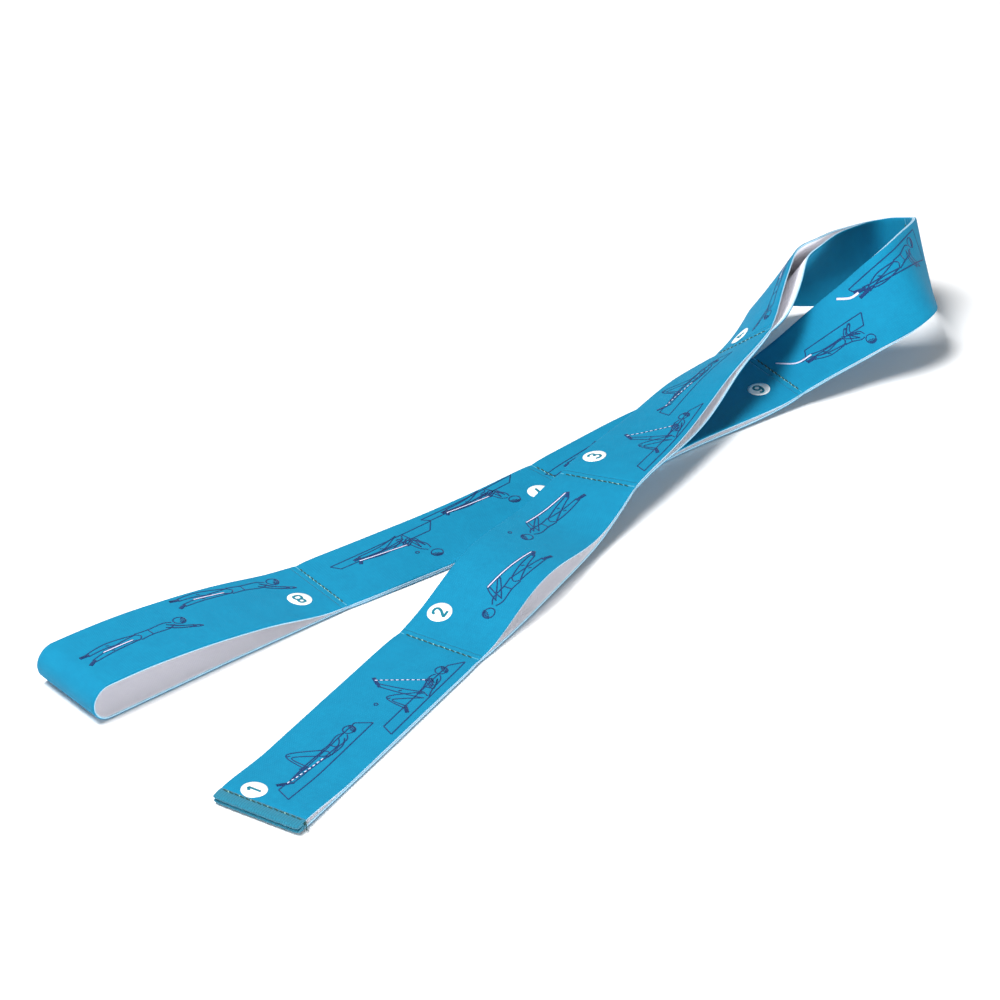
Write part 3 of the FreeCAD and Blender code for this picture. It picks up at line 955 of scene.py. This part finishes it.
def creases(material):
    """The pale line that each cross seam draws over the band's full width, front and back."""
    count = 80
    for number in range(1, LOOPS):
        for word, side in (("front", 1), ("back", -1)):
            verts = []
            for i in range(count + 1):
                up = (BAND_WIDTH - 2 * CORNER) * i / count + CORNER
                wave = 0.10 * MM * math.sin(up / (1.3 * MM)) + 0.08 * MM * math.sin(up / (0.47 * MM))
                for edge, deep in ((-0.2, 0.03), (0.2, 0.03), (0.2, -0.08), (-0.2, -0.08)):
                    s = seam(number) + edge * MM + wave + 0.3 * MM
                    verts.append(on_face(side, s, up, deep * MM))
            faces = ring_faces(count + 1, 4) + [(0, 3, 2, 1), tuple(4 * count + j for j in range(4))]
            piece = make_object(f"{word}_crease_{number}", verts, faces, [material])
            cross_seam(piece, number)


# ---- materials
class Shader:
    """A node material, and short ways to add nodes to it."""

    def __init__(self, name, colour, roughness, sheen, specular):
        self.material = bpy.data.materials.new(name)
        self.material.use_nodes = True
        self.tree = self.material.node_tree
        self.surface = self.tree.nodes["Principled BSDF"]
        self.surface.inputs["Base Color"].default_value = (*colour, 1.0)
        self.surface.inputs["Roughness"].default_value = roughness
        self.surface.inputs["Specular IOR Level"].default_value = specular
        self.surface.inputs["Sheen Weight"].default_value = sheen
        self.surface.inputs["Sheen Roughness"].default_value = 0.45

    def node(self, kind, **values):
        """A node with its inputs set or linked by name."""
        made = self.tree.nodes.new(kind)
        for key, value in values.items():
            if key.startswith("set_"):
                setattr(made, key[4:], value)
            else:
                self.put(made.inputs[key.replace("_", " ")], value)
        return made

    def put(self, socket, value):
        """Links a socket to another, or sets it to a value."""
        if isinstance(value, bpy.types.NodeSocket):
            self.tree.links.new(value, socket)
        else:
            socket.default_value = value

    def cloth(self):
        """Coordinates on the cloth in millimetres: across the band and along it."""
        return self.node("ShaderNodeUVMap", set_uv_map="cloth").outputs["UV"]

    def place(self):
        """Coordinates in the object in millimetres."""
        where = self.node("ShaderNodeTexCoord").outputs["Object"]
        made = self.node("ShaderNodeVectorMath", set_operation="MULTIPLY")
        self.put(made.inputs[0], where)
        self.put(made.inputs[1], (1000.0, 1000.0, 1000.0))
        return made.outputs[0]

    def math(self, operation, a, b, clamp=False):
        """Arithmetic on two values."""
        made = self.node("ShaderNodeMath", set_operation=operation, set_use_clamp=clamp)
        self.put(made.inputs[0], a)
        self.put(made.inputs[1], b)
        return made.outputs[0]

    def wave(self, vector, period, turn=0.0, distortion=0.0):
        """Bands with a period in millimetres, turned in the cloth's plane."""
        turned = self.node("ShaderNodeMapping", Vector=vector, Rotation=(0.0, 0.0, math.radians(turn)))
        made = self.node("ShaderNodeTexWave", Vector=turned.outputs[0], Scale=math.pi / 10 / period,
                         Distortion=distortion, Detail=1.0)
        return made.outputs["Fac"]

    def noise(self, vector, size, detail=2.0):
        """Noise with features of about a size in millimetres."""
        made = self.node("ShaderNodeTexNoise", Vector=vector, Scale=1.0 / size, Detail=detail)
        return made.outputs["Fac"]

    def blend(self, share, a, b):
        """Colour a at share 0 and b at share 1."""
        made = self.node("ShaderNodeMix", set_data_type="RGBA", set_clamp_factor=True)
        self.put(made.inputs[0], share)
        for socket, value in ((made.inputs[6], a), (made.inputs[7], b)):
            self.put(socket, value if isinstance(value, bpy.types.NodeSocket) else (*value, 1.0))
        return made.outputs[2]

    def finish(self, colour, height=None, strength=0.0, distance=0.0):
        """Links the colour and the relief."""
        self.put(self.surface.inputs["Base Color"], colour)
        if height is not None:
            bump = self.node("ShaderNodeBump", Strength=strength, Distance=distance, Height=height)
            self.put(self.surface.inputs["Normal"], bump.outputs[0])
        return self.material


def knitted(name, colour, shade, light, sheen, rib=0.95):
    """Fine knitted cloth: little V stitches in rows along the band, yarn fuzz and slow unevenness."""
    made = Shader(name, colour, 0.82, sheen, 0.14)
    cloth = made.cloth()
    one = made.wave(cloth, rib * 0.8, 38.0, 0.4)
    other = made.wave(cloth, rib * 0.8, -38.0, 0.4)
    wales = made.wave(cloth, rib, 0.0, 0.25)
    stitches = made.math("MULTIPLY", made.math("ADD", one, other), 0.5)
    weave = made.math("ADD", made.math("MULTIPLY", stitches, 0.65), made.math("MULTIPLY", wales, 0.35))
    fuzz = made.noise(cloth, 0.35, 3.0)
    slow = made.noise(cloth, 9.0, 3.0)
    blotch = made.noise(cloth, 2.2, 2.0)
    height = made.math("ADD", weave, made.math("MULTIPLY", fuzz, 0.5))
    dye = made.math("ADD", made.math("MULTIPLY", slow, 0.6), made.math("MULTIPLY", blotch, 0.5))
    base = made.blend(made.math("SUBTRACT", dye, 0.05, clamp=True), shade, colour)
    grin = made.math("MULTIPLY", made.math("POWER", weave, 4.0), 0.22)
    return made.finish(made.blend(grin, base, light), height, 0.55, 0.09 * MM)


def selvedge(name, white, tint):
    """The band's cut and turned edge: white yarn ends with a tint of dye between."""
    made = Shader(name, white, 0.85, 0.2, 0.2)
    cloth = made.cloth()
    ends = made.wave(cloth, 0.9, 90.0, 0.8)
    fuzz = made.noise(cloth, 0.3, 3.0)
    height = made.math("ADD", ends, made.math("MULTIPLY", fuzz, 0.6))
    share = made.math("MULTIPLY", made.math("MULTIPLY", ends, fuzz), 1.1, clamp=True)
    return made.finish(made.blend(share, white, tint), height, 0.7, 0.12 * MM)


def ribbed(name, colour, shade):
    """The hem's cloth, pulled into fine ribs across the roll, with painted shade in the ribs' furrows."""
    made = Shader(name, colour, 0.78, 0.3, 0.25)
    cloth = made.cloth()
    ribs = made.wave(cloth, HEM_RIB / MM, 0.0, 0.6)
    fine = made.wave(cloth, 0.5, 90.0, 0.8)
    fuzz = made.noise(cloth, 0.4, 3.0)
    height = made.math("ADD", ribs, made.math("MULTIPLY", made.math("ADD", fine, fuzz), 0.35))
    # painted shade: the colour darkens towards each rib's furrow, with random fuzz in the tone
    share = made.math("MULTIPLY", made.math("ADD", ribs, fuzz), 0.62, clamp=True)
    return made.finish(made.blend(share, shade, colour), height, 0.6, 0.12 * MM)


def thread_and_highlight_shader(name, dark, light):
    """Twisted polyester thread, and the same twisted look for the pale painted highlights beside the
    stitches.
    """
    made = Shader(name, dark, 0.5, 0.15, 0.4)
    place = made.place()
    twist = made.wave(place, 0.34, 52.0, 0.6)
    fuzz = made.noise(place, 1.6, 2.0)
    share = made.math("MULTIPLY", made.math("MULTIPLY", twist, fuzz), 0.85, clamp=True)
    return made.finish(made.blend(share, dark, light), twist, 0.7, 0.05 * MM)


def printed(name, colour, shade):
    """Dye printed on the knit: the cloth's grain shows through it."""
    made = Shader(name, colour, 0.8, 0.1, 0.2)
    place = made.place()
    grain = made.wave(place, 0.7, 38.0, 2.0)
    fuzz = made.noise(place, 0.5, 3.0)
    share = made.math("MULTIPLY", made.math("ADD", grain, fuzz), 0.5, clamp=True)
    return made.finish(made.blend(share, shade, colour), made.math("ADD", grain, fuzz), 0.35, 0.05 * MM)


def make_materials():
    """Every material by name."""
    return {
        "face": knitted("printed_teal_knit", (0.003, 0.255, 0.440), (0.002, 0.175, 0.330),
                        (0.05, 0.40, 0.57), 0.05),
        "inner": knitted("white_knit", (0.92, 0.92, 0.95), (0.86, 0.85, 0.91), (0.96, 0.96, 0.97), 0.15, 1.1),
        "edge": selvedge("pale_selvedge", (0.50, 0.70, 0.84), (0.14, 0.46, 0.64)),
        # the hem's colour, and its darker colour as painted shade in the rib furrows
        "hem": ribbed("hem_cloth", (0.016, 0.225, 0.335), (0.004, 0.13, 0.23)),
        "thread": thread_and_highlight_shader("green_thread", (0.002, 0.045, 0.050), (0.01, 0.13, 0.11)),
        # painted highlight: the pale colour of the short tubes that stand in for glints on the thread
        "painted_thread_highlight": thread_and_highlight_shader("painted_thread_highlight", (0.30, 0.55, 0.38), (0.72, 0.85, 0.72)),
        "crease": selvedge("stretched_crease", (0.09, 0.42, 0.58), (0.02, 0.30, 0.46)),
        "ink": printed("navy_ink", (0.007, 0.030, 0.125), (0.010, 0.060, 0.190)),
        "lilac": printed("lilac_ink", (0.78, 0.76, 0.92), (0.62, 0.62, 0.84)),
        "white": printed("white_ink", (0.93, 0.95, 0.95), (0.84, 0.90, 0.92)),
        "digit": printed("teal_ink", (0.004, 0.160, 0.240), (0.010, 0.220, 0.300)),
    }


# ---- studio
VIEW_AZIMUTH = math.radians(46.0)  # the camera looks this far clockwise from +Y
VIEW_ELEVATION = math.radians(31.95)
VIEW_DISTANCE = 1525.5 * MM
VIEW_LENS = 122.4  # millimetres
SENSOR = 36.0
FLOOR_REACH = 6.0
WORLD_LIGHT = 0.13
LIGHTS = [  # name, place, size and power
    ("key", (-0.7, 0.45, 1.9), 0.9, 58.0),
    ("low", (-0.2, -1.9, 0.26), 0.8, 34.0),
    ("left", (-1.9, 0.9, 0.7), 1.0, 9.0),
]


def aim(made, place, direction):
    """Puts a camera or light at a place, looking along a direction."""
    made.location = place
    made.rotation_mode = "QUATERNION"
    made.rotation_quaternion = direction.to_track_quat("-Z", "Y")


def make_camera():
    """The camera, looking down along the strap."""
    level = math.cos(VIEW_ELEVATION)
    forward = Vector((math.sin(VIEW_AZIMUTH) * level, math.cos(VIEW_AZIMUTH) * level,
                      -math.sin(VIEW_ELEVATION)))
    data = bpy.data.cameras.new("camera")
    data.lens = VIEW_LENS
    data.sensor_width = SENSOR
    data.clip_start = 0.05
    data.clip_end = 30.0
    camera = add_object("camera", data)
    aim(camera, SHIFT - forward * VIEW_DISTANCE, forward)
    bpy.context.scene.camera = camera


def area_light(name, place, size, power):
    """A soft square light aimed at the strap."""
    data = bpy.data.lights.new(name, "AREA")
    data.size = size
    data.energy = power
    aim(add_object(name, data), place, -Vector(place))


def make_studio():
    """A pale floor under soft light from above, from low in front and from the left."""
    mesh = bpy.data.meshes.new("floor")
    corners = [(FLOOR_REACH * x, FLOOR_REACH * y, 0) for x, y in ((-1, -1), (1, -1), (1, 1), (-1, 1))]
    mesh.from_pydata(corners, [], [(0, 1, 2, 3)])
    made = Shader("floor_paper", (0.97, 0.97, 0.975), 0.9, 0.0, 0.1)
    tone = made.noise(made.place(), 60.0, 2.0)
    mesh.materials.append(made.finish(made.blend(tone, (0.965, 0.965, 0.97), (0.98, 0.98, 0.98))))
    floor = add_object("floor", mesh)
    world = bpy.data.worlds.new("studio")
    world.use_nodes = True
    background = world.node_tree.nodes["Background"]
    background.inputs[0].default_value = (0.96, 0.98, 1.0, 1.0)
    background.inputs[1].default_value = WORLD_LIGHT
    bpy.context.scene.world = world
    for light in LIGHTS:
        area_light(*light)
    bpy.context.scene.view_settings.view_transform = "Standard"


def main():
    """The whole scene: studio, cloth, hem, thread and print."""
    make_camera()
    make_studio()
    looks = make_materials()
    cloth = [looks["face"], looks["inner"], looks["edge"]]
    for loop in range(1, LOOPS):
        plain_ply(loop, 1, cloth)
        plain_ply(loop, -1, cloth)
    loop_8_band(cloth)
    hem_roll("back_hem_roll", BACK_HEM_LOW, -0.35 * MM, looks["hem"])
    hem_roll("front_hem_roll", FRONT_HEM_LOW, 0.0, looks["hem"])
    thread_and_highlight_looks = [looks["thread"], looks["painted_thread_highlight"]]
    seam_threads(thread_and_highlight_looks)
    hem_needle_row(thread_and_highlight_looks)
    hem_bobbin_row(thread_and_highlight_looks)
    hem_knot(thread_and_highlight_looks)
    creases(looks["crease"])
    prints(looks)


main()
